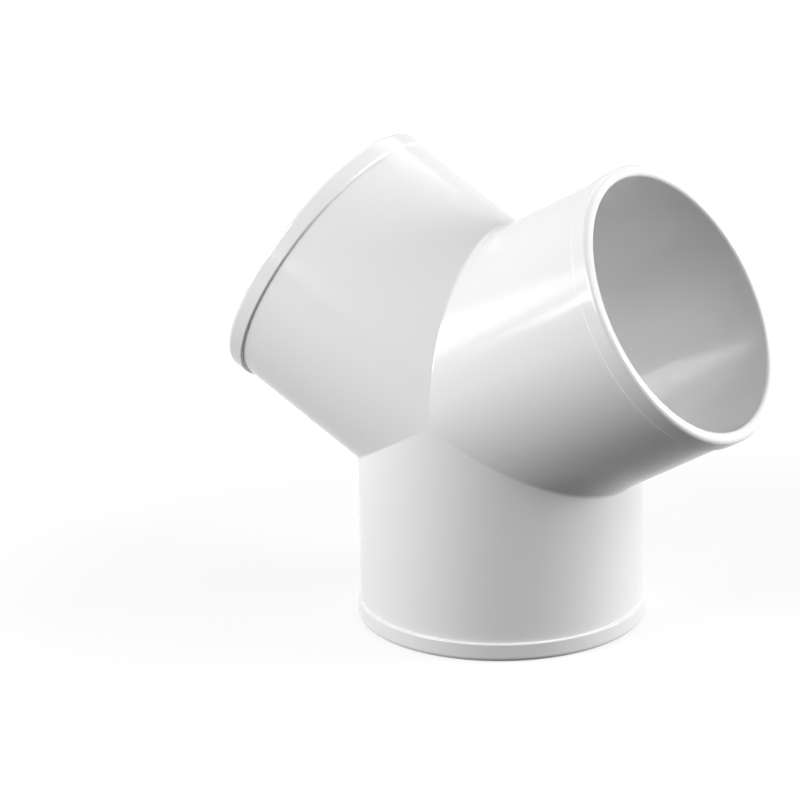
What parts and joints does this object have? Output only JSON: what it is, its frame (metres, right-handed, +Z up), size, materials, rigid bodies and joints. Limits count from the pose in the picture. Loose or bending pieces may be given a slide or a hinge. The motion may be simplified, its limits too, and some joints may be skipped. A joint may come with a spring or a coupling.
{
  "type": "y-shaped duct connector",
  "caption": "Y-shaped connector that joins round flexible ducts at equal angles, with a low bead round each mouth to hold the duct's clamp.",
  "frame": {"origin": "centre of the stem's mouth, on the plane that the connector stands on", "axes": "+Z up along the stem's axis; the two arms rise in the XZ plane, 60 degrees to either side of +Z; the plane of the three axes has its normal along Y"},
  "size_m": [0.1886, 0.0998, 0.1642],
  "materials": {
    "white_plastic": "gloss, as moulded"
  },
  "bodies": {
    "root": {"y_connector": "white_plastic"}
  },
  "joints": []
}
